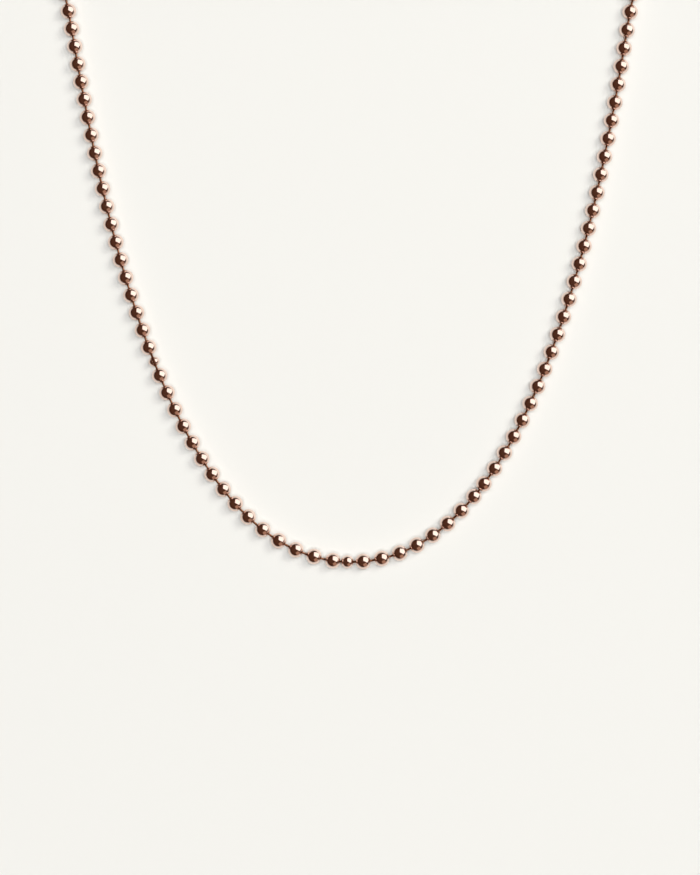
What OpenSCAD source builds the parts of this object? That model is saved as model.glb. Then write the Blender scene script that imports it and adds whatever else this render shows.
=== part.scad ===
// Ball chain necklace, laid down in an open loop and closed at the back.
// Millimetres, Z up. The front of the loop points to -Y and the clasp lies at +Y.
// The origin is on the surface below the middle of the loop.

/* [Balls] */
// Diameter of a hollow ball
ball_d = 3.2; // [3.1:0.1:3.8]
// Thickness of the metal of a ball
ball_wall = 0.25; // [0.2:0.05:0.35]
// Usual gap between two balls
ball_gap = 0.55; // [0.5:0.05:1.2]

/* [Links] */
// Diameter of a link's wire
wire_d = 0.46; // [0.4:0.02:0.52]
// Play of the wire in a drilled hole, all round
wire_play = 0.16; // [0.12:0.01:0.18]
// Diameter of the round head at each end of a link
head_d = 1.05; // [1:0.05:1.1]
// Play between a head and the ball around it
head_play = 0.2; // [0.15:0.05:0.25]

/* [Small beads] */
// Diameter of the small bead on the left side
side_bead_d = 2.3; // [2.1:0.1:2.5]
// Length of that bead along the chain
side_bead_l = 1.9; // [1.7:0.1:2]
// Width of the open seam on top of that bead
seam_w = 0.6; // [0.5:0.02:0.7]
// Place of that bead, counted in pieces from the front bead
side_bead_at = 16; // [15:1:17]
// Diameter of the flattened bead at the front
front_bead_d = 2.7; // [2.6:0.1:3]
// Length of the flattened bead along the chain
front_bead_l = 2.5; // [2.2:0.1:2.6]

/* [Clasp] */
// Thickness of the clasp's sleeve
clasp_wall = 0.3; // [0.25:0.05:0.4]
// Play of an end ball in the sleeve, all round
clasp_play = 0.15; // [0.12:0.01:0.2]
// Distance between the two end balls in the sleeve, centre to centre
clasp_seat = 6.7; // [6.6:0.1:8]
// Gap between an end of the sleeve and the ball outside it
clasp_gap = 0.25; // [0.2:0.05:0.5]
// Width of the opening at each end of the sleeve
clasp_mouth_d = 1.5; // [1.5:0.1:1.8]
// Radius of the rounded edge at each end of the sleeve
clasp_round = 0.8; // [0.5:0.1:1]

/* [Laid loop] */
// Width between the shoulders, where the sides leave the front curve
shoulder_w = 115; // [100:1:140]
// Length of the front part, from the front of the loop to the shoulders
front_l = 114; // [100:1:130]
// Length of the round back part, from the shoulders to the clasp
back_l = 52; // [48:1:62]
// Outward lean of the sides at the shoulders, in degrees
shoulder_lean = 11.9; // [6:0.1:16]
// Reach of the front curve's handle at the front of the loop
front_reach = 43; // [36:0.5:48]
// Reach of the front curve's handle below a shoulder
side_reach = 17; // [12:0.5:24]
// Reach of the back curve's handle above a shoulder
turn_reach = 30; // [26:0.5:32]
// Reach of the back curve's handle at the clasp
back_reach = 33; // [26:0.5:36]
// Distance that the front bead lies to the left of the loop's middle, along the chain
front_shift = 1; // [0:0.1:2]

/* [Hidden] */
$fn = 48;
rose_gold = [0.86, 0.62, 0.52];
shaded_gold = [0.62, 0.4, 0.32];
// How far a cutting tool reaches past the surface that it cuts
cut = 1;

ball_r = ball_d / 2;
pitch = ball_d + ball_gap;
hole_d = wire_d + 2 * wire_play;
// Depth of a head's centre below the outside of its ball
head_depth = ball_wall + head_play + head_d / 2;
// Where a link's line crosses the axis of the ball's holes, as a share of the ball's radius
crossing = 0.75;

// Width of the sleeve's bore, and of the window above it that the end balls go in by
sleeve_bore_d = ball_d + 2 * clasp_play;
sleeve_d = sleeve_bore_d + 2 * clasp_wall;
sleeve_bore_l = clasp_seat + ball_d + 2 * clasp_play;
sleeve_l = sleeve_bore_l + 2 * clasp_wall;
// Distance from an end ball to the first ball outside the sleeve
clasp_step = ball_d + clasp_play + clasp_wall + clasp_gap;

// Runs of gaps from the front bead towards the clasp, as they lie
COUNT = 0; // number of gaps in the run
WIDTH = 1; // width of each, as a share of the usual gap
LEFT_RUNS = [[1, 0.2], [5, 1.34], [9, 1.08], [2, 0.94], [8, 0.98], [6, 0.92], [5, 0.81]];
RIGHT_RUNS = [[1, 0.69], [7, 1.14], [1, 0.2], [11, 1.04], [16, 0.97]];

// One half of the loop, from its front at 0, 0 to the clasp: two curves that meet at the shoulder
shoulder = [shoulder_w / 2, front_l];
lean = [sin(shoulder_lean), cos(shoulder_lean)];
back = [0, front_l + back_l];
FRONT_CURVE = [[0, 0], [front_reach, 0], shoulder - side_reach * lean, shoulder];
BACK_CURVE = [shoulder, shoulder + turn_reach * lean, back + [back_reach, 0], back];
STEPS = 120;

function curve_point(c, t) =
    pow(1 - t, 3) * c[0] + 3 * t * pow(1 - t, 2) * c[1] + 3 * t * t * (1 - t) * c[2] + pow(t, 3) * c[3];

route = concat([for (i = [0 : STEPS - 1]) curve_point(FRONT_CURVE, i / STEPS)],
               [for (i = [0 : STEPS]) curve_point(BACK_CURVE, i / STEPS)]);

// Length of the route from the loop's middle line to each of its points
travel = [for (i = 0, s = 0; i < len(route);
               i = i + 1, s = i < len(route) ? s + norm(route[i] - route[i - 1]) : s) s];
half_l = travel[len(travel) - 1];
x_along = [for (i = [0 : len(route) - 1]) [travel[i], route[i].x]];
y_along = [for (i = [0 : len(route) - 1]) [travel[i], route[i].y]];

LEFT = -1;
RIGHT = 1;

// Half of a piece's length along the chain; piece 0 is the front bead
function half_piece(side, i) =
    i == 0 ? front_bead_l / 2 : side == LEFT && i == side_bead_at ? side_bead_l / 2 : ball_r;

function gaps(runs) = [for (run = runs) for (k = [1 : run[COUNT]]) run[WIDTH] * ball_gap];

function step(side, gap, i) = half_piece(side, i - 1) + gap[i - 1] + half_piece(side, i);

// Distances along the route from the loop's front to each piece whose gap is in the runs
function seen_places(side, gap) =
    [for (i = 1, s = step(side, gap, 1) - side * front_shift; i <= len(gap);
          i = i + 1, s = i <= len(gap) ? s + step(side, gap, i) : s) s];

// The rest of a side shares what is left of its half of the loop, up to the first ball outside the clasp
function all_places(side, runs) =
    let (seen = seen_places(side, gaps(runs)),
         last = seen[len(seen) - 1],
         end = half_l - clasp_seat / 2,
         rest = end - clasp_step - last,
         count = round(rest / pitch))
    concat(seen, [for (i = [1 : count]) last + i * rest / count], [end]);

// Centres of a side's pieces from front to back; the end ball rises to the axis of the sleeve
function centres(side, runs) =
    let (places = all_places(side, runs), n = len(places))
    concat([for (i = [0 : n - 2])
                [side * lookup(places[i], x_along), lookup(places[i], y_along), ball_r]],
           [[side * clasp_seat / 2, back.y, sleeve_d / 2]]);

left_centres = centres(LEFT, LEFT_RUNS);
right_centres = centres(RIGHT, RIGHT_RUNS);
front_at = len(left_centres);
side_at = front_at - side_bead_at;

function reversed(list) = [for (i = [len(list) - 1 : -1 : 0]) list[i]];

// Every piece on the chain, from the left end ball round the front to the right end ball
front = [LEFT * lookup(front_shift, x_along), lookup(front_shift, y_along), ball_r];
on_chain = concat(reversed(left_centres), [front], right_centres);
last_at = len(on_chain) - 1;

// The middle of the loop, between its frontmost piece and the far side of the clasp
front_edge = min(front.y - front_bead_d / 2,
                 min([for (i = [0 : last_at]) if (i != front_at) on_chain[i].y]) - ball_r);
middle = [0, (front_edge + back.y + sleeve_d / 2) / 2, 0];
centre = [for (p = on_chain) p - middle];

function unit(v) = v / norm(v);
function is_bead(i) = i == front_at || i == side_at;
function along(i) = unit(centre[min(i + 1, last_at)] - centre[max(i - 1, 0)]);

// Puts its children at a point, with their Z axis turned along a direction
module place(point, direction) {
    translate(point)
        rotate([0, acos(direction.z), atan2(direction.y, direction.x)])
            children();
}

module ball() {
    difference() {
        sphere(d = ball_d);
        sphere(d = ball_d - 2 * ball_wall);
        cylinder(d = hole_d, h = ball_d + cut, center = true);
    }
}

// A link's wire runs through one ball's hole and the next ball's, with a head inside each
module link(from, to) {
    near = centre[from] + crossing * ball_r * along(from);
    far = centre[to] - crossing * ball_r * along(to);
    direction = unit(far - near);
    // From where it crosses the axis, the wire reaches this much further in to its head
    reach = head_depth - (1 - crossing) * ball_r;
    place(near - reach * direction, direction) {
        length = norm(far - near) + 2 * reach;
        cylinder(d = wire_d, h = length);
        sphere(d = head_d);
        translate([0, 0, length]) sphere(d = head_d);
    }
}

module balls() {
    color(rose_gold)
        for (i = [0 : last_at])
            if (!is_bead(i)) place(centre[i], along(i)) ball();
}

// A link that carries a small bead reaches across it to the next ball
module links() {
    color(shaded_gold)
        for (i = [0 : last_at - 1])
            if (!is_bead(i)) link(i, is_bead(i + 1) ? i + 2 : i + 1);
}

// Drilled bead with a fully round rim, a little wider than it is long
module bead(d, l) {
    rim_r = l / 2;
    difference() {
        rotate_extrude() {
            intersection() {
                translate([d / 2 - rim_r, 0]) circle(r = rim_r);
                translate([0, -rim_r]) square([d / 2, l]);
            }
            translate([0, -rim_r]) square([d / 2 - rim_r, l]);
        }
        cylinder(d = hole_d, h = l + cut, center = true);
    }
}

// This bead has a seam left open along its top
module side_bead() {
    color(rose_gold)
        place(centre[side_at], along(side_at))
            difference() {
                bead(side_bead_d, side_bead_l);
                translate([-side_bead_d / 2 - cut, -seam_w / 2, -side_bead_l / 2 - cut])
                    cube([side_bead_d / 2 + cut, seam_w, side_bead_l + 2 * cut]);
            }
}

module front_bead() {
    color(rose_gold)
        place(centre[front_at], along(front_at)) bead(front_bead_d, front_bead_l);
}

// Sleeve with rounded ends that holds both end balls; the wires come in through its slot
module clasp() {
    core_r = sleeve_d / 2 - clasp_round;
    color(rose_gold)
        translate([0, back.y, sleeve_d / 2] - middle)
            difference() {
                rotate([0, 90, 0]) {
                    cylinder(r = core_r, h = sleeve_l, center = true);
                    cylinder(d = sleeve_d, h = sleeve_l - 2 * clasp_round, center = true);
                    for (end = [-1, 1])
                        translate([0, 0, end * (sleeve_l / 2 - clasp_round)])
                            rotate_extrude() translate([core_r, 0]) circle(r = clasp_round);
                }
                rotate([0, 90, 0]) {
                    cylinder(d = sleeve_bore_d, h = sleeve_bore_l, center = true);
                    cylinder(d = clasp_mouth_d, h = sleeve_l + cut, center = true);
                }
                translate([-sleeve_l / 2 - cut, -hole_d / 2, 0])
                    cube([sleeve_l + 2 * cut, hole_d, sleeve_d / 2 + cut]);
                cylinder(d = sleeve_bore_d, h = sleeve_d / 2 + cut);
            }
}

balls();
links();
side_bead();
front_bead();
clasp();
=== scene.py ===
"""Looks of a ball chain necklace: rose gold balls on wire links, laid in an open loop on a pale floor."""

import math

import bmesh
import bpy
import numpy as np
from bpy.props import FloatProperty, FloatVectorProperty, IntProperty, PointerProperty
from mathutils import Matrix, Quaternion, Vector


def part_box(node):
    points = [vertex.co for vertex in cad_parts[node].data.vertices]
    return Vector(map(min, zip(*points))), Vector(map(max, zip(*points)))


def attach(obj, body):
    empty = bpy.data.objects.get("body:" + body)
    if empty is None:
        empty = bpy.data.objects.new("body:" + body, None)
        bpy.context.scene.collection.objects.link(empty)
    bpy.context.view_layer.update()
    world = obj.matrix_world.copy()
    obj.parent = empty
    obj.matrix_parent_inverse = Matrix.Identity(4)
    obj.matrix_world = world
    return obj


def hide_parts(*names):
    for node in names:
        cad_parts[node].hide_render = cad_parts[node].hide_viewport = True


bl_info = {
    "name": "Ball Chain Necklace",
    "version": (1, 0, 0),
    "blender": (4, 5, 0),
    "location": "3D View > Sidebar > Necklace",
    "description": "Builds the balls, links, small beads and clasp of a ball chain necklace, and its stage",
    "category": "Object",
}

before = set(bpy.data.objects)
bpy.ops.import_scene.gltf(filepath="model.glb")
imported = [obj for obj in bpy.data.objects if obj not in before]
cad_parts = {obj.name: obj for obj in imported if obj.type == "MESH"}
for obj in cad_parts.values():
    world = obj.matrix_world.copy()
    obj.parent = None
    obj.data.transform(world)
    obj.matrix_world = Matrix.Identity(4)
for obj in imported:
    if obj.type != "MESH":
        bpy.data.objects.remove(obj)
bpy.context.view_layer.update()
BODY = "root"
MILLIMETRE = 0.001

# Corners of the solids that lie closer together than this are one corner
MERGE = 1e-7
# Corners of a ball this far inside its farthest corner still count as on its outside
SKIN = 0.1 * MILLIMETRE


# The chain as it lies, read from the solids

def loose_parts(node):
    """The corners of each loose part of a node, as one array for each part."""
    mesh = bmesh.new()
    mesh.from_mesh(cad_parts[node].data)
    bmesh.ops.remove_doubles(mesh, verts=mesh.verts, dist=MERGE)
    parts = []
    seen = set()
    for first in mesh.verts:
        if first in seen:
            continue
        seen.add(first)
        part = [first]
        # The list grows while the loop goes through it
        for corner in part:
            for edge in corner.link_edges:
                other = edge.other_vert(corner)
                if other not in seen:
                    seen.add(other)
                    part.append(other)
        parts.append(np.array([corner.co for corner in part]))
    mesh.free()
    return parts


def fitted_sphere(points):
    """Centre and radius of the sphere that fits the outermost of some points best."""
    middle = (points.min(0) + points.max(0)) / 2
    reach = np.linalg.norm(points - middle, axis=1)
    outer = points[reach > reach.max() - SKIN]
    rows = np.column_stack([2 * outer, np.ones(len(outer))])
    found = np.linalg.lstsq(rows, (outer**2).sum(1), rcond=None)[0]
    return Vector(found[:3]), math.sqrt(found[3] + found[:3] @ found[:3])


def box_middle(node):
    """Middle of a node's box."""
    low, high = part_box(node)
    return (low + high) / 2


def round_the_loop(place):
    """Angle of a place about the middle, which grows from the left end ball to the right one."""
    return math.atan2(place[0].x, -place[0].y)


BALLS = [fitted_sphere(points) for points in loose_parts("balls")]
BALL_RADIUS = sum(radius for _, radius in BALLS) / len(BALLS)
BALL = "ball"
BEADS = ("side_bead", "front_bead")


def chain_places():
    """Centre and kind of each piece on the chain, in order from the left end ball to the right one."""
    places = [(centre, BALL) for centre, _ in BALLS]
    for bead in BEADS:
        middle = box_middle(bead)
        places.append((Vector((middle.x, middle.y, BALL_RADIUS)), bead))
    return sorted(places, key=round_the_loop)


CHAIN = chain_places()
CENTRES = [centre for centre, _ in CHAIN]
KINDS = [kind for _, kind in CHAIN]
LAST = len(CHAIN) - 1


def along(number):
    """Direction of the holes of a piece, from the piece before it to the piece after it."""
    return (CENTRES[min(number + 1, LAST)] - CENTRES[max(number - 1, 0)]).normalized()


CLASP_LOW, CLASP_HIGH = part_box("clasp")
CLASP_LENGTH = CLASP_HIGH.x - CLASP_LOW.x
CLASP_DIAMETER = CLASP_HIGH.y - CLASP_LOW.y


# Sizes and colours that a user would change

def size(name, description, millimetres):
    """A length property with its default in millimetres."""
    return FloatProperty(
        name=name,
        description=description,
        default=millimetres * MILLIMETRE,
        min=0.0,
        precision=5,
        subtype="DISTANCE",
        unit="LENGTH",
    )


def share(name, description, default):
    """A property from 0 to 1."""
    return FloatProperty(
        name=name, description=description, default=default, min=0.0, max=1.0, subtype="FACTOR"
    )


def count(name, description, default):
    """A whole number property."""
    return IntProperty(name=name, description=description, default=default, min=0)


def turn(name, description, degrees):
    """An angle property with its default in degrees."""
    return FloatProperty(name=name, description=description, default=math.radians(degrees), subtype="ANGLE")


def colour(name, description, red_green_blue):
    """A colour property."""
    return FloatVectorProperty(
        name=name,
        description=description,
        default=red_green_blue,
        size=3,
        min=0.0,
        soft_max=1.0,
        subtype="COLOR",
    )


class BallSettings(bpy.types.PropertyGroup):
    """Sizes of the hollow balls."""

    wall: size("Wall", "Thickness of the metal of a ball", 0.25)
    hole: size("Hole", "Diameter of a drilled hole", 0.78)
    lip: share("Lip", "Radius of the rounded edge of a hole, as a share of the wall", 0.45)
    sides: count("Sides", "Facets round the holes of a ball", 26)
    outer_rows: count("Outer Rows", "Facets from hole to hole on the outside", 13)
    inner_rows: count("Inner Rows", "Facets from hole to hole on the inside", 5)
    seed: count("Seed", "Seed of the tone of the balls", 7)


class LinkSettings(bpy.types.PropertyGroup):
    """Sizes of the wire links."""

    wire: size("Wire", "Diameter of the wire", 0.46)
    head: size("Head", "Diameter of the round head at each end of a link", 1.05)
    head_play: size("Head Play", "Play between a head and the ball around it", 0.2)
    crossing: share("Crossing", "Where a link crosses the axis of a ball, as a share of its radius", 0.75)
    sides: count("Sides", "Facets round the wire", 16)
    head_rows: count("Head Rows", "Rings of corners on each head", 7)


class BeadSettings(bpy.types.PropertyGroup):
    """Sizes of the two small beads."""

    side_diameter: size("Side Bead", "Diameter of the small bead on the left side", 2.3)
    side_length: size("Side Bead Length", "Length of that bead along the chain", 1.9)
    seam: size("Seam", "Width of the open seam on top of that bead", 0.6)
    front_diameter: size("Front Bead", "Diameter of the flattened bead at the front", 2.7)
    front_length: size("Front Bead Length", "Length of that bead along the chain", 2.5)
    edge: size("Edge", "Width of the rounded edges of the holes and the seam", 0.04)
    sides: count("Sides", "Facets round a bead", 40)


class ClaspSettings(bpy.types.PropertyGroup):
    """Sizes of the sleeve clasp."""

    wall: size("Wall", "Thickness of the metal of the sleeve", 0.3)
    rounding: size("Rounding", "Radius of the rounded edge at each end of the sleeve", 0.8)
    mouth: size("Mouth", "Width of the opening at each end", 1.5)
    slot: size("Slot", "Width of the slot along the top", 0.78)
    edge: size("Edge", "Width of the rounded edges of the slot and the openings", 0.08)
    sides: count("Sides", "Facets round the sleeve", 56)


class MetalSettings(bpy.types.PropertyGroup):
    """Colours and finish of the rose gold."""

    gold: colour("Rose Gold", "Colour of the polished plate", (0.88, 0.7, 0.62))
    deep_gold: colour("Deep Gold", "Colour of the plate where it is worn", (0.8, 0.53, 0.42))
    # The two wire colours are painted shade: they are far darker than the real wire's rose gold, so the wire
    # looks as dark as it does in the shade between the balls. The second one is also the colour where the
    # wire is worn.
    wire_gold_painted_shade: colour("Wire Gold", "Colour of the drawn wire", (0.4, 0.19, 0.11))
    wire_painted_shade_and_wear: colour("Wire Shade", "Colour of the wire where it is worn", (0.28, 0.125, 0.07))
    polish: share("Polish", "Roughness of the polished plate", 0.12)
    wire_polish: share("Wire Polish", "Roughness of the drawn wire", 0.14)


class StageSettings(bpy.types.PropertyGroup):
    """Floor, light and camera."""

    floor: colour("Floor", "Colour of the floor", (0.86, 0.853, 0.805))
    floor_roughness: share("Floor Roughness", "Roughness of the floor, which is a smooth pale board", 0.15)
    room: colour("Room", "Light of the dark room that the metal mirrors", (0.086, 0.037, 0.022))
    room_edge: colour("Room Edge", "Light of that room near the floor", (0.045, 0.016, 0.009))
    softbox: colour("Softbox", "Light of the softbox at the upper right", (1.4, 1.38, 1.35))
    softbox_turn: turn("Softbox Turn", "Angle of the softbox from +X towards +Y", 35)
    softbox_spin: turn("Softbox Spin", "Turn of the softbox in its own plane", 38)
    softbox_tilt: turn("Softbox Tilt", "Angle of the softbox from straight above", 52)
    key: colour("Key", "Light that throws the shadows, which the metal doesn't mirror", (5.2, 5.15, 5.0))
    key_turn: turn("Key Turn", "Angle of the key light from +X towards +Y", 32)
    key_tilt: turn("Key Tilt", "Angle of the key light from straight above", 38)
    card: colour("Warm Card", "Light of the dim warm card at the bottom", (0.33, 0.21, 0.155))
    card_turn: turn("Warm Card Turn", "Angle of the warm card from +X towards +Y", -59)
    card_tilt: turn("Warm Card Tilt", "Angle of the warm card from straight above", 62)
    overhead: colour("Overhead", "Light from above that softens the shadows", (6.9, 7.3, 7.55))
    camera_height: size("Camera Height", "Height of the camera above the necklace", 1000)
    camera_roll: turn("Camera Roll", "Turn of the camera about its own axis", -0.28)


class NecklaceSettings(bpy.types.PropertyGroup):
    """All the settings of the necklace."""

    balls: PointerProperty(type=BallSettings)
    links: PointerProperty(type=LinkSettings)
    beads: PointerProperty(type=BeadSettings)
    clasp: PointerProperty(type=ClaspSettings)
    metal: PointerProperty(type=MetalSettings)
    stage: PointerProperty(type=StageSettings)


# Node trees, written as Python expressions

class Value:
    """An output of a node, with Python's operators for the maths on it."""

    def __init__(self, tree, socket):
        self.tree = tree
        self.socket = socket

    def maths(self, operation, first, second=0.0):
        """One Math node."""
        values = {"Value": first, "Value_001": second}
        return self.tree.node("ShaderNodeMath", {"operation": operation}, values)

    def __add__(self, other):
        return self.maths("ADD", self, other)

    __radd__ = __add__

    def __sub__(self, other):
        return self.maths("SUBTRACT", self, other)

    def __rsub__(self, other):
        return self.maths("SUBTRACT", other, self)

    def __mul__(self, other):
        return self.maths("MULTIPLY", self, other)

    __rmul__ = __mul__

    def __truediv__(self, other):
        return self.maths("DIVIDE", self, other)

    def __rtruediv__(self, other):
        return self.maths("DIVIDE", other, self)

    def __gt__(self, other):
        return self.maths("GREATER_THAN", self, other)

    def __lt__(self, other):
        return self.maths("LESS_THAN", self, other)

    def absolute(self):
        """This value without its sign."""
        return self.maths("ABSOLUTE", self)

    def sine(self):
        """Sine of this value, in radians."""
        return self.maths("SINE", self)

    def cosine(self):
        """Cosine of this value, in radians."""
        return self.maths("COSINE", self)

    def arcsine(self):
        """Angle in radians whose sine is this value."""
        return self.maths("ARCSINE", self)

    def output(self, name):
        """Another output of the same node."""
        return Value(self.tree, find_socket(self.socket.node.outputs, name))


def find_socket(sockets, key):
    """The socket with an identifier or a name."""
    for socket in sockets:
        if socket.identifier == key:
            return socket
    return sockets[key]


class Tree:
    """A node tree with short ways to add nodes to it."""

    def __init__(self, tree):
        self.tree = tree

    def node(self, kind, settings=None, values=None, output=None):
        """Adds a node with its settings and its sockets' values or links, and gives one of its outputs."""
        made = self.tree.nodes.new(kind)
        for name, value in (settings or {}).items():
            setattr(made, name, value)
        for name, value in (values or {}).items():
            socket = find_socket(made.inputs, name)
            if isinstance(value, Value):
                self.tree.links.new(value.socket, socket)
            else:
                socket.default_value = value
        if output is None:
            shown = [socket for socket in made.outputs if socket.enabled]
            return Value(self, shown[0]) if shown else None
        return Value(self, find_socket(made.outputs, output))

    def mix_colours(self, factor, first, second):
        """One Mix node on two colours."""
        return self.node(
            "ShaderNodeMix",
            {"data_type": "RGBA"},
            {"Factor_Float": factor, "A_Color": rgba(first), "B_Color": rgba(second)},
            "Result_Color",
        )

    def vector_maths(self, operation, values, output="Vector"):
        """One Vector Math node."""
        return self.node("ShaderNodeVectorMath", {"operation": operation}, values, output)

    def spread(self, value, low, high):
        """Stretches a range of a value to the range from 0 to 1 and keeps it inside."""
        return self.node(
            "ShaderNodeMapRange",
            {"clamp": True},
            {"Value": value, "From Min": low, "From Max": high},
            "Result",
        )


def rgba(value):
    """A colour with its alpha, or a link as it is."""
    return value if isinstance(value, Value) else (*value, 1.0)


# Geometry Nodes trees for what repeats along the chain

def geometry_tree(name, inputs):
    """A Geometry Nodes tree with a mesh input and named inputs, as pairs of name and socket type."""
    group = bpy.data.node_groups.new(name, "GeometryNodeTree")
    group.interface.new_socket("Mesh", in_out="OUTPUT", socket_type="NodeSocketGeometry")
    group.interface.new_socket("Mesh", in_out="INPUT", socket_type="NodeSocketGeometry")
    for label, kind in inputs:
        group.interface.new_socket(label, in_out="INPUT", socket_type=kind)
    tree = Tree(group)
    return tree, tree.node("NodeGroupInput")


def finish_geometry(tree, geometry, material):
    """Realizes the instances, smooths their shading, gives them a material and ends the tree."""
    real = tree.node("GeometryNodeRealizeInstances", {}, {"Geometry": geometry})
    smooth = tree.node("GeometryNodeSetShadeSmooth", {}, {"Geometry": real})
    painted = tree.node("GeometryNodeSetMaterial", {}, {"Geometry": smooth, "Material": material})
    tree.node("NodeGroupOutput", {}, {"Mesh": painted})


def run_geometry(name, mesh, tree, values):
    """A new object with the plain mesh that a tree makes from a mesh."""
    made = bpy.data.objects.new(name, mesh)
    bpy.context.scene.collection.objects.link(made)
    modifier = made.modifiers.new("Build", "NODES")
    modifier.node_group = tree.tree
    for item in tree.tree.interface.items_tree:
        if item.in_out == "INPUT" and item.name in values:
            modifier[item.identifier] = values[item.name]
    evaluated = made.evaluated_get(bpy.context.evaluated_depsgraph_get())
    plain = bpy.data.meshes.new_from_object(evaluated)
    made.modifiers.remove(modifier)
    made.data = plain
    plain.name = name
    if not plain.polygons:
        raise RuntimeError(f"{name}: the tree made no faces")
    return made


# Corners of the strip farther than this share of the wall from its middle line are on a long side
LONG_SIDE = 0.499
# Corners added to each rounded corner of the strip
LIP_STEPS = 2
# Angle from the end of a head to its first ring of corners
HEAD_END = math.radians(20)


def ball_tree():
    """Hollow balls: a strip with round ends is bent round the ball's centre and swept round its holes."""
    tree, given = geometry_tree(
        "Hollow Balls",
        [
            ("Radius", "NodeSocketFloat"),
            ("Wall", "NodeSocketFloat"),
            ("Hole Radius", "NodeSocketFloat"),
            ("Lip", "NodeSocketFloat"),
            ("Sides", "NodeSocketInt"),
            ("Outer Rows", "NodeSocketInt"),
            ("Inner Rows", "NodeSocketInt"),
            ("Seed", "NodeSocketInt"),
            ("Metal", "NodeSocketMaterial"),
        ],
    )
    wall = given.output("Wall")
    hole = given.output("Hole Radius")
    middle = given.output("Radius") - wall / 2
    opening = ((hole + wall / 2) / middle).arcsine()
    length = middle * (math.pi - opening * 2)
    strip = tree.node("GeometryNodeCurvePrimitiveQuadrilateral", {}, {"Width": length, "Height": wall})
    rounded = tree.node(
        "GeometryNodeFilletCurve",
        {"mode": "POLY"},
        {"Curve": strip, "Count": LIP_STEPS, "Radius": wall * given.output("Lip")},
    )
    # The two long sides start at corners whose X and Y have the same sign, and are cut into rows
    flat = tree.node("GeometryNodeInputPosition")
    width = tree.node("ShaderNodeSeparateXYZ", {}, {"Vector": flat}, "X")
    height = width.output("Y")
    starts = (height.absolute() > wall * LONG_SIDE) * (width * height > 0.0)
    inner_rows = given.output("Inner Rows")
    rows = inner_rows + (height > 0.0) * (given.output("Outer Rows") - inner_rows)
    cut = tree.node("GeometryNodeSubdivideCurve", {}, {"Curve": rounded, "Cuts": starts * (rows - 1)})
    angle = width / middle
    reach = middle + height
    section = tree.node(
        "GeometryNodeSetPosition",
        {},
        {
            "Geometry": cut,
            "Position": tree.node(
                "ShaderNodeCombineXYZ",
                {},
                {"X": reach * angle.cosine() - hole, "Y": reach * angle.sine()},
            ),
        },
    )
    ring = tree.node(
        "GeometryNodeCurvePrimitiveCircle",
        {},
        {"Resolution": given.output("Sides"), "Radius": hole},
        "Curve",
    )
    swept = tree.node("GeometryNodeCurveToMesh", {}, {"Curve": ring, "Profile Curve": section})
    # The sweep leaves the faces turned inward
    ball = tree.node("GeometryNodeFlipFaces", {}, {"Mesh": swept})
    # How near a point lies to a hole, for the finish
    point = tree.node("GeometryNodeInputPosition")
    from_centre = tree.vector_maths("LENGTH", {"Vector": point}, "Value")
    up = tree.node("ShaderNodeSeparateXYZ", {}, {"Vector": point}, "Z")
    marked = tree.node(
        "GeometryNodeStoreNamedAttribute",
        {"data_type": "FLOAT", "domain": "POINT"},
        {"Geometry": ball, "Name": "near_hole", "Value": up.absolute() / from_centre},
    )
    direction = tree.node(
        "GeometryNodeInputNamedAttribute", {"data_type": "FLOAT_VECTOR"}, {"Name": "along"}, "Attribute"
    )
    rotation = tree.node("FunctionNodeAlignRotationToVector", {"axis": "Z"}, {"Vector": direction})
    placed = tree.node(
        "GeometryNodeInstanceOnPoints",
        {},
        {"Points": given.output("Mesh"), "Instance": marked, "Rotation": rotation},
    )
    finish_geometry(tree, store_tone(tree, placed, given), given.output("Metal"))
    return tree


def store_tone(tree, instances, given):
    """Gives each instance a random tone from 0 to 1."""
    tone = tree.node("FunctionNodeRandomValue", {"data_type": "FLOAT"}, {"Seed": given.output("Seed")})
    return tree.node(
        "GeometryNodeStoreNamedAttribute",
        {"data_type": "FLOAT", "domain": "INSTANCE"},
        {"Geometry": instances, "Name": "tone", "Value": tone},
    )


def link_tree():
    """Wire links: each edge becomes one turned shape, a wire with a round head at each end."""
    tree, given = geometry_tree(
        "Wire Links",
        [
            ("Wire Radius", "NodeSocketFloat"),
            ("Head Radius", "NodeSocketFloat"),
            ("Sides", "NodeSocketInt"),
            ("Head Rows", "NodeSocketInt"),
            ("Metal", "NodeSocketMaterial"),
        ],
    )
    wire = given.output("Wire Radius")
    head = given.output("Head Radius")
    rows = given.output("Head Rows")
    line = tree.node("GeometryNodeMeshToCurve", {}, {"Mesh": given.output("Mesh")})
    resampled = tree.node("GeometryNodeResampleCurve", {"mode": "COUNT"}, {"Curve": line, "Count": rows * 2})
    spline = tree.node("GeometryNodeSplineParameter")
    number = spline.output("Index")
    length = tree.node("GeometryNodeSplineLength", {}, {}, "Length")
    # The second half of the corners belongs to the far head, and its rows count down
    far_half = number > rows - 0.5
    row = number + far_half * (rows * 2 - 1 - number * 2)
    # Angle round a head, from just off its end to where the wire leaves it
    neck = math.pi - (wire / head).arcsine()
    angle = HEAD_END + row * (neck - HEAD_END) / (rows - 1)
    inward = head * angle.cosine() * -1
    target = inward + far_half * (length - inward * 2)
    tangent = tree.node("GeometryNodeInputTangent")
    shift = tree.vector_maths("SCALE", {"Vector": tangent, "Scale": target - spline.output("Length")})
    moved = tree.node("GeometryNodeSetPosition", {}, {"Geometry": resampled, "Offset": shift})
    ring = tree.node(
        "GeometryNodeCurvePrimitiveCircle", {}, {"Resolution": given.output("Sides"), "Radius": 1.0}, "Curve"
    )
    turned = tree.node(
        "GeometryNodeCurveToMesh",
        {},
        {"Curve": moved, "Profile Curve": ring, "Scale": head * angle.sine(), "Fill Caps": True},
    )
    finish_geometry(tree, turned, given.output("Metal"))
    return tree


# Turned walls for the small beads and the clasp

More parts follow.
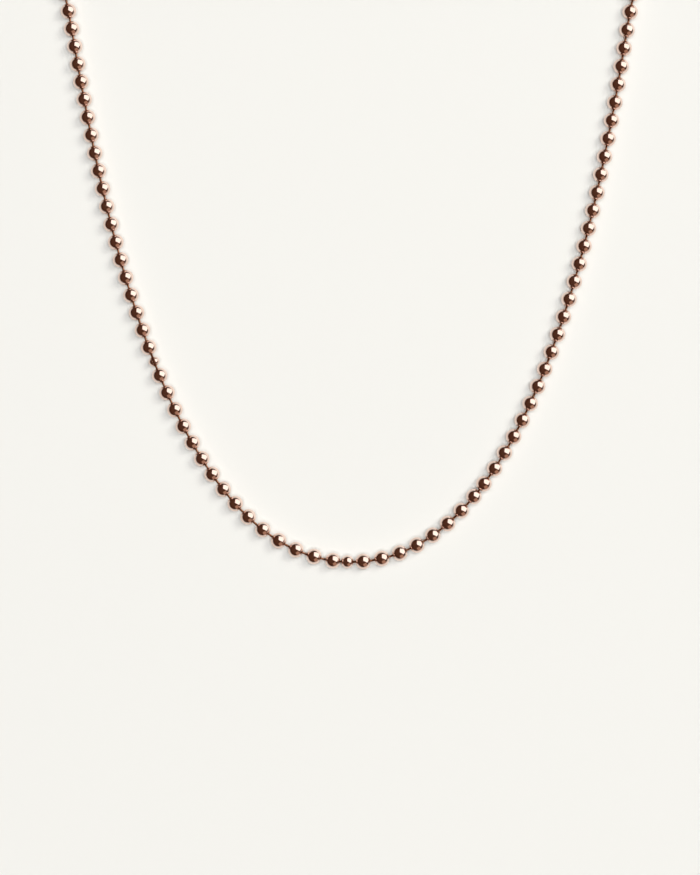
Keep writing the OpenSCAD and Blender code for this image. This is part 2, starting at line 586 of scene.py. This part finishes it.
# Facets along a bead, a rounded end of the clasp, its window, and the stretch beside the window
BEAD_STEPS = 20
ROUND_STEPS = 6
WINDOW_STEPS = 24
SIDE_STEPS = 5
# Edges sharper than this are rounded, in so many facets
BEVEL_ANGLE = math.radians(40)
BEVEL_STEPS = 2


def turned_wall(name, outer, inner, gap, sides, edge, middle, direction, material):
    """An object turned about its length, from lists of pairs of place along it and radius.

    What is cut out of its top has at each place the half width that the gap function gives. With None
    for the function, nothing is cut out.
    """
    mesh = bmesh.new()
    open_top = gap is not None
    steps = sides + 1 if open_top else sides

    def ring(station):
        place, radius = station
        half = math.asin(min(gap(place) / radius, 1.0)) if open_top else 0.0
        corners = []
        for number in range(steps):
            angle = half + (2 * math.pi - 2 * half) * number / sides
            corner = (radius * math.cos(angle), radius * math.sin(angle), place)
            corners.append(mesh.verts.new(corner))
        return corners

    outer_rings = [ring(station) for station in outer]
    inner_rings = [ring(station) for station in inner]
    loop = outer_rings + inner_rings[::-1]
    loop.append(loop[0])
    for first, second in zip(loop, loop[1:]):
        for number in range(sides):
            after = (number + 1) % steps
            mesh.faces.new((first[number], first[after], second[after], second[number]))
    if open_top:
        for number in range(len(outer) - 1):
            for side in (0, -1):
                corners = (
                    outer_rings[number][side],
                    outer_rings[number + 1][side],
                    inner_rings[number + 1][side],
                    inner_rings[number][side],
                )
                mesh.faces.new(corners)
    bmesh.ops.remove_doubles(mesh, verts=mesh.verts, dist=MERGE)
    bmesh.ops.recalc_face_normals(mesh, faces=mesh.faces)
    # The object's length lies along the direction, and its top stays up
    up = Vector((0, 0, 1))
    turned = Matrix((up, direction.cross(up), direction)).transposed().to_4x4()
    turned.translation = middle
    mesh.transform(turned)
    plain = bpy.data.meshes.new(name)
    mesh.to_mesh(plain)
    mesh.free()
    for face in plain.polygons:
        face.use_smooth = True
    plain.materials.append(material)
    made = bpy.data.objects.new(name, plain)
    bpy.context.scene.collection.objects.link(made)
    bevel = made.modifiers.new("Edges", "BEVEL")
    bevel.width = edge
    bevel.segments = BEVEL_STEPS
    bevel.limit_method = "ANGLE"
    bevel.angle_limit = BEVEL_ANGLE
    bevel.harden_normals = True
    return made


def arc(centre, radius, start, end, steps):
    """Pairs of place along the axis and distance from it, on an arc with its angles in degrees."""
    pairs = []
    for number in range(steps + 1):
        angle = math.radians(start + (end - start) * number / steps)
        pairs.append((centre[0] + radius * math.cos(angle), centre[1] + radius * math.sin(angle)))
    return pairs


def bead_outline(diameter, length, hole):
    """Outside of a drilled bead with a fully round rim, from hole to hole."""
    rim = length / 2
    core = diameter / 2 - rim
    start = math.degrees(math.asin((hole - core) / rim))
    return arc((0, core), rim, 180 - start, start, BEAD_STEPS)


# Materials

# Size of the soft clouds of tone and of the fine polishing marks, and how much finer detail they have
CLOUD_SIZE = 2.2 * MILLIMETRE
CLOUD_DETAIL = 2.0
MARK_SIZE = 0.16 * MILLIMETRE
MARK_DETAIL = 3.0
NOISE_ROUGHNESS = 0.6
# Lowest and highest value of the marks, the tone and the nearness to a hole that count
MARK_RANGE = (0.45, 0.75)
TONE_RANGE = (0.2, 0.9)
RIM_RANGE = (0.86, 0.99)
# How far the rim of a hole, the tone of a ball and the tone of a wire turn the colour to the worn one
RIM_WEAR = 0.6
BALL_WEAR = 0.25
WIRE_WEAR = 0.3
# Roughness that the marks add, and how many times that the rim of a hole adds
MARK_DULLING = 0.05
RIM_DULLING = 1.5
# Strength and depth of the marks in the bump
MARK_STRENGTH = 0.12
MARK_DEPTH = 0.004 * MILLIMETRE
# Clouds to a metre in the paint of the floor, their detail, their strength and their darkest shade
PAINT_CLOUDS = 3.0
PAINT_DETAIL = 2.0
PAINT_STRENGTH = 0.02
PAINT_DARKEST = 0.9


def shader_tree(owner):
    """The emptied node tree of a new material or world."""
    owner.use_nodes = True
    owner.node_tree.nodes.clear()
    return Tree(owner.node_tree)


def polished_metal(name, gold, deep_gold, roughness, varied):
    """Polished metal with fine marks, made once. If varied, it is also worn at the holes and by tone."""
    if name in bpy.data.materials:
        return bpy.data.materials[name]
    material = bpy.data.materials.new(name)
    tree = shader_tree(material)
    place = tree.node("ShaderNodeTexCoord", {}, {}, "Object")

    def noise(size_of_grain, detail):
        return tree.node(
            "ShaderNodeTexNoise",
            {"noise_dimensions": "3D"},
            {"Vector": place, "Scale": 1 / size_of_grain, "Detail": detail, "Roughness": NOISE_ROUGHNESS},
            "Fac",
        )

    clouds = noise(CLOUD_SIZE, CLOUD_DETAIL)
    marks = noise(MARK_SIZE, MARK_DETAIL)
    dulled = tree.spread(marks, *MARK_RANGE)
    if varied:
        own = tree.node("ShaderNodeAttribute", {"attribute_name": "tone"}, {}, "Fac")
        near_hole = tree.node("ShaderNodeAttribute", {"attribute_name": "near_hole"}, {}, "Fac")
        rim = tree.spread(near_hole, *RIM_RANGE)
        dulled = dulled + rim * RIM_DULLING
        worn = rim * RIM_WEAR + tree.spread((clouds + own) / 2, *TONE_RANGE) * BALL_WEAR
    else:
        worn = tree.spread(clouds, *TONE_RANGE) * WIRE_WEAR
    base = tree.mix_colours(worn, gold, deep_gold)
    bump = tree.node(
        "ShaderNodeBump",
        {},
        {"Strength": MARK_STRENGTH, "Distance": MARK_DEPTH, "Height": marks},
    )
    rough = roughness + dulled * MARK_DULLING
    surface = tree.node(
        "ShaderNodeBsdfPrincipled",
        {},
        {"Base Color": base, "Metallic": 1.0, "Roughness": rough, "Normal": bump},
    )
    tree.node("ShaderNodeOutputMaterial", {}, {"Surface": surface})
    return material


def gold_of(context):
    """The polished plate of the balls, beads and clasp."""
    metal = context.scene.necklace.metal
    return polished_metal("Polished Rose Gold", metal.gold, metal.deep_gold, metal.polish, True)


def wire_of(context):
    """The drawn wire of the links, its colours darkened as painted shade."""
    metal = context.scene.necklace.metal
    return polished_metal("Drawn Rose Gold With Painted Shade", metal.wire_gold_painted_shade, metal.wire_painted_shade_and_wear, metal.wire_polish, False)


def plain_paint(name, shade, roughness):
    """Paint with a very faint unevenness."""
    material = bpy.data.materials.new(name)
    tree = shader_tree(material)
    place = tree.node("ShaderNodeTexCoord", {}, {}, "Object")
    cloud = tree.node(
        "ShaderNodeTexNoise", {}, {"Vector": place, "Scale": PAINT_CLOUDS, "Detail": PAINT_DETAIL}, "Fac"
    )
    darkest = [part * PAINT_DARKEST for part in shade]
    base = tree.mix_colours(cloud * PAINT_STRENGTH, shade, darkest)
    surface = tree.node("ShaderNodeBsdfPrincipled", {}, {"Base Color": base, "Roughness": roughness})
    tree.node("ShaderNodeOutputMaterial", {}, {"Surface": surface})
    return material


# Operators, one for each piece or group of like pieces

def hand_over(piece, slot, *nodes):
    """Makes a piece ride on the body and hides its nodes; the slot is not used."""
    piece.data.update()
    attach(piece, BODY)
    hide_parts(*nodes)


class NECKLACE_OT_balls(bpy.types.Operator):
    """Makes the hollow balls"""

    bl_idname = "necklace.balls"
    bl_label = "Make Balls"

    def execute(self, context):
        settings = context.scene.necklace.balls
        numbers = [number for number in range(LAST + 1) if KINDS[number] == BALL]
        mesh = bpy.data.meshes.new("ball_places")
        mesh.from_pydata([CENTRES[number] for number in numbers], [], [])
        directions = mesh.attributes.new("along", "FLOAT_VECTOR", "POINT")
        for number, direction in zip(numbers, directions.data):
            direction.vector = along(number)
        balls = run_geometry(
            "hollow_balls",
            mesh,
            ball_tree(),
            {
                "Radius": BALL_RADIUS,
                "Wall": settings.wall,
                "Hole Radius": settings.hole / 2,
                "Lip": settings.lip,
                "Sides": settings.sides,
                "Outer Rows": settings.outer_rows,
                "Inner Rows": settings.inner_rows,
                "Seed": settings.seed,
                "Metal": gold_of(context),
            },
        )
        hand_over(balls, "rose_gold", "balls")
        return {"FINISHED"}


class NECKLACE_OT_links(bpy.types.Operator):
    """Makes the wire links"""

    bl_idname = "necklace.links"
    bl_label = "Make Links"

    def execute(self, context):
        settings = context.scene.necklace.links
        wall = context.scene.necklace.balls.wall
        depth = wall + settings.head_play + settings.head / 2
        reach = depth - (1 - settings.crossing) * BALL_RADIUS
        ends = []
        for number in range(LAST):
            if KINDS[number] != BALL:
                continue
            after = number + 1 if KINDS[number + 1] == BALL else number + 2
            near = CENTRES[number] + settings.crossing * BALL_RADIUS * along(number)
            far = CENTRES[after] - settings.crossing * BALL_RADIUS * along(after)
            direction = (far - near).normalized()
            ends += [near - reach * direction, far + reach * direction]
        mesh = bpy.data.meshes.new("link_places")
        mesh.from_pydata(ends, [(number, number + 1) for number in range(0, len(ends), 2)], [])
        links = run_geometry(
            "wire_links",
            mesh,
            link_tree(),
            {
                "Wire Radius": settings.wire / 2,
                "Head Radius": settings.head / 2,
                "Sides": settings.sides,
                "Head Rows": settings.head_rows,
                "Metal": wire_of(context),
            },
        )
        hand_over(links, "rose_gold_wire", "links")
        return {"FINISHED"}


class NECKLACE_OT_beads(bpy.types.Operator):
    """Makes the two small beads"""

    bl_idname = "necklace.beads"
    bl_label = "Make Small Beads"

    def execute(self, context):
        settings = context.scene.necklace.beads
        hole = context.scene.necklace.balls.hole / 2

        def seam(place):
            """Half the width of the seam, which is the same at each place."""
            return settings.seam / 2

        beads = (
            ("seamed_side_bead", "side_bead", settings.side_diameter, settings.side_length, seam),
            ("flattened_front_bead", "front_bead", settings.front_diameter, settings.front_length, None),
        )
        for name, node, diameter, length, gap in beads:
            outer = bead_outline(diameter, length, hole)
            inner = [(place, hole) for place, _ in outer]
            at = KINDS.index(node)
            bead = turned_wall(
                name, outer, inner, gap, settings.sides, settings.edge,
                CENTRES[at], along(at), gold_of(context),
            )
            hand_over(bead, "rose_gold", node)
        return {"FINISHED"}


class NECKLACE_OT_clasp(bpy.types.Operator):
    """Makes the sleeve clasp"""

    bl_idname = "necklace.clasp"
    bl_label = "Make Clasp"

    def execute(self, context):
        settings = context.scene.necklace.clasp
        half = CLASP_LENGTH / 2
        radius = CLASP_DIAMETER / 2
        core = radius - settings.rounding
        bore = radius - settings.wall
        mouth = settings.mouth / 2
        slot = settings.slot / 2
        # The round window is as wide as the bore, and runs into the slot at its corners
        corner = math.sqrt(bore**2 - slot**2)

        def gap(place):
            """Half the width of the slot or the window, whichever is wider."""
            return max(slot, math.sqrt(max(bore**2 - place**2, 0.0)))

        # Places along the sleeve, close together across the window and wider apart on either side of it
        reach = math.asin(corner / bore)
        turns = [reach * (2 * step / WINDOW_STEPS - 1) for step in range(WINDOW_STEPS + 1)]
        across = [bore * math.sin(angle) for angle in turns]
        shoulder = half - settings.rounding
        beside = [shoulder - (shoulder - corner) * step / SIDE_STEPS for step in range(SIDE_STEPS)]
        straight = [-place for place in beside] + across + beside[::-1]
        left = arc((-shoulder, core), settings.rounding, 180, 90, ROUND_STEPS)
        right = arc((shoulder, core), settings.rounding, 90, 0, ROUND_STEPS)
        between = [(place, radius) for place in straight[1:-1]]
        outer = [(-half, mouth)] + left + between + right + [(half, mouth)]
        bore_half = half - settings.wall
        inner = []
        for place, height in outer:
            inner.append((max(-bore_half, min(bore_half, place)), min(height, bore)))
        middle = box_middle("clasp")
        middle.z = radius
        clasp = turned_wall(
            "sleeve_clasp", outer, inner, gap, settings.sides, settings.edge,
            middle, Vector((1, 0, 0)), gold_of(context),
        )
        hand_over(clasp, "rose_gold", "clasp")
        return {"FINISHED"}


# Stage

# Size of the photo in pixels
PHOTO_WIDTH = 700
PHOTO_HEIGHT = 875
# Distance between two balls in the photo, in pixels and as a real size
PITCH_PIXELS = 18.45
PITCH = 3.75 * MILLIMETRE
# Where the front bead is in the photo, in pixels
FRONT_BEAD_X = 347.3
FRONT_BEAD_Y = 561.8
# Size of the camera's sensor along the photo's long side in millimetres, and the nearest distance it sees
SENSOR = 36.0
NEAREST = 0.01
# Distance from the middle of the floor to its edges, how far it lies below the necklace, and its cells
FLOOR_REACH = 8.0
FLOOR_DROP = 0.01 * MILLIMETRE
FLOOR_CELLS = 8
# Height at which the room's edge ends, as the sine of the angle above the floor
ROOM_EDGE_TOP = 0.7
LIGHT_DISTANCE = 4.0
# Width and height of the lights, as shares of their distance
SOFTBOX = (1.55, 1.3)
KEY = (0.5, 0.5)
CARD = (0.82, 1.0)
OVERHEAD = (0.6, 0.6)


def direction_of(turn_angle, tilt_angle):
    """Direction of a light, from its turn from +X towards +Y and its tilt from straight above."""
    return Vector((
        math.sin(tilt_angle) * math.cos(turn_angle),
        math.sin(tilt_angle) * math.sin(turn_angle),
        math.cos(tilt_angle),
    ))


def area_light(name, target, direction, extent, shade, spin=0.0, mirrored=False):
    """A light that faces a target. Either smooth things mirror it, or it lights dull ones, never both."""
    light = bpy.data.lights.new(name, "AREA")
    light.shape = "RECTANGLE"
    light.size = extent[0] * LIGHT_DISTANCE
    light.size_y = extent[1] * LIGHT_DISTANCE
    strongest = max(shade)
    light.color = [part / strongest for part in shade]
    # With this power, the light is as bright as its shade
    light.energy = strongest * math.pi * light.size * light.size_y
    lamp = bpy.data.objects.new(name, light)
    lamp.location = target + LIGHT_DISTANCE * direction
    lamp.rotation_mode = "QUATERNION"
    lamp.rotation_quaternion = direction.to_track_quat("Z", "Y") @ Quaternion((0, 0, 1), spin)
    lamp.visible_camera = False
    lamp.visible_glossy = mirrored
    lamp.visible_diffuse = not mirrored
    bpy.context.scene.collection.objects.link(lamp)


def make_camera(scene, settings):
    """Adds the camera, straight above, with the front bead where the photo has it, and gives its aim."""
    pixel = PITCH / PITCH_PIXELS
    front = CENTRES[KINDS.index("front_bead")]
    shift = Vector((PHOTO_WIDTH / 2 - FRONT_BEAD_X, FRONT_BEAD_Y - PHOTO_HEIGHT / 2, 0)) * pixel
    aim = front + Matrix.Rotation(settings.camera_roll, 3, "Z") @ shift
    optics = bpy.data.cameras.new("camera")
    optics.sensor_width = SENSOR
    optics.lens = SENSOR * settings.camera_height / (PHOTO_HEIGHT * pixel)
    optics.clip_start = NEAREST
    camera = bpy.data.objects.new("camera", optics)
    camera.location = aim + Vector((0, 0, settings.camera_height))
    camera.rotation_euler = (0, 0, settings.camera_roll)
    scene.collection.objects.link(camera)
    scene.camera = camera
    return aim


def make_floor(scene, settings):
    """Adds the floor, just below the necklace."""
    mesh = bpy.data.meshes.new("floor")
    grid = bmesh.new()
    bmesh.ops.create_grid(grid, x_segments=FLOOR_CELLS, y_segments=FLOOR_CELLS, size=FLOOR_REACH)
    grid.to_mesh(mesh)
    grid.free()
    mesh.materials.append(plain_paint("Pale Floor", settings.floor, settings.floor_roughness))
    floor = bpy.data.objects.new("floor", mesh)
    floor.location.z = -FLOOR_DROP
    scene.collection.objects.link(floor)


def make_lights(settings, target):
    """Adds the softbox and the card that the metal mirrors, and the two lights of the floor."""
    softbox_place = direction_of(settings.softbox_turn, settings.softbox_tilt)
    card_place = direction_of(settings.card_turn, settings.card_tilt)
    key_place = direction_of(settings.key_turn, settings.key_tilt)
    overhead_place = Vector((0, 0, 1))
    spin = settings.softbox_spin
    area_light("softbox", target, softbox_place, SOFTBOX, settings.softbox, spin, mirrored=True)
    area_light("warm_card", target, card_place, CARD, settings.card, mirrored=True)
    area_light("key", target, key_place, KEY, settings.key)
    area_light("overhead", target, overhead_place, OVERHEAD, settings.overhead)


def make_room(scene, settings):
    """Makes the dark room that the metal mirrors, darkest near the floor."""
    room = bpy.data.worlds.new("room")
    tree = shader_tree(room)
    height = tree.node("ShaderNodeSeparateXYZ", {}, {"Vector": tree.node("ShaderNodeTexCoord")}, "Z")
    above = tree.spread(height, 0.0, ROOM_EDGE_TOP)
    shade = tree.mix_colours(above, settings.room_edge, settings.room)
    background = tree.node("ShaderNodeBackground", {}, {"Color": shade})
    tree.node("ShaderNodeOutputWorld", {}, {"Surface": background})
    scene.world = room


class NECKLACE_OT_stage(bpy.types.Operator):
    """Makes the floor, the light and the camera"""

    bl_idname = "necklace.stage"
    bl_label = "Make Stage"

    def execute(self, context):
        scene = context.scene
        settings = scene.necklace.stage
        aim = make_camera(scene, settings)
        make_floor(scene, settings)
        make_lights(settings, Vector((aim.x, aim.y, 0)))
        make_room(scene, settings)
        scene.view_settings.view_transform = "Standard"
        return {"FINISHED"}


# Each group of settings, its heading in the panel and the operator that uses it, if it has its own
PANEL_GROUPS = (
    ("metal", "Metal", None),
    ("balls", "Balls", NECKLACE_OT_balls),
    ("links", "Links", NECKLACE_OT_links),
    ("beads", "Small Beads", NECKLACE_OT_beads),
    ("clasp", "Clasp", NECKLACE_OT_clasp),
    ("stage", "Stage", NECKLACE_OT_stage),
)


class NECKLACE_PT_panel(bpy.types.Panel):
    """Panel that lists the operators and their settings"""

    bl_idname = "NECKLACE_PT_panel"
    bl_label = "Ball Chain Necklace"
    bl_space_type = "VIEW_3D"
    bl_region_type = "UI"
    bl_category = "Necklace"

    def draw(self, context):
        for group, heading, operator in PANEL_GROUPS:
            box = self.layout.box()
            box.label(text=heading)
            settings = getattr(context.scene.necklace, group)
            for name in settings.bl_rna.properties.keys():
                if name not in ("rna_type", "name"):
                    box.prop(settings, name)
            if operator:
                box.operator(operator.bl_idname)


CLASSES = (
    BallSettings,
    LinkSettings,
    BeadSettings,
    ClaspSettings,
    MetalSettings,
    StageSettings,
    NecklaceSettings,
    NECKLACE_OT_balls,
    NECKLACE_OT_links,
    NECKLACE_OT_beads,
    NECKLACE_OT_clasp,
    NECKLACE_OT_stage,
    NECKLACE_PT_panel,
)


def register():
    """Registers the classes and the scene's settings."""
    for cls in CLASSES:
        bpy.utils.register_class(cls)
    bpy.types.Scene.necklace = PointerProperty(type=NecklaceSettings)


def unregister():
    """Takes the scene's settings and the classes away again."""
    del bpy.types.Scene.necklace
    for cls in reversed(CLASSES):
        bpy.utils.unregister_class(cls)


def main():
    """Makes the stage and the pieces."""
    register()
    bpy.ops.necklace.stage()
    bpy.ops.necklace.balls()
    bpy.ops.necklace.links()
    bpy.ops.necklace.beads()
    bpy.ops.necklace.clasp()


if __name__ == "__main__":
    main()
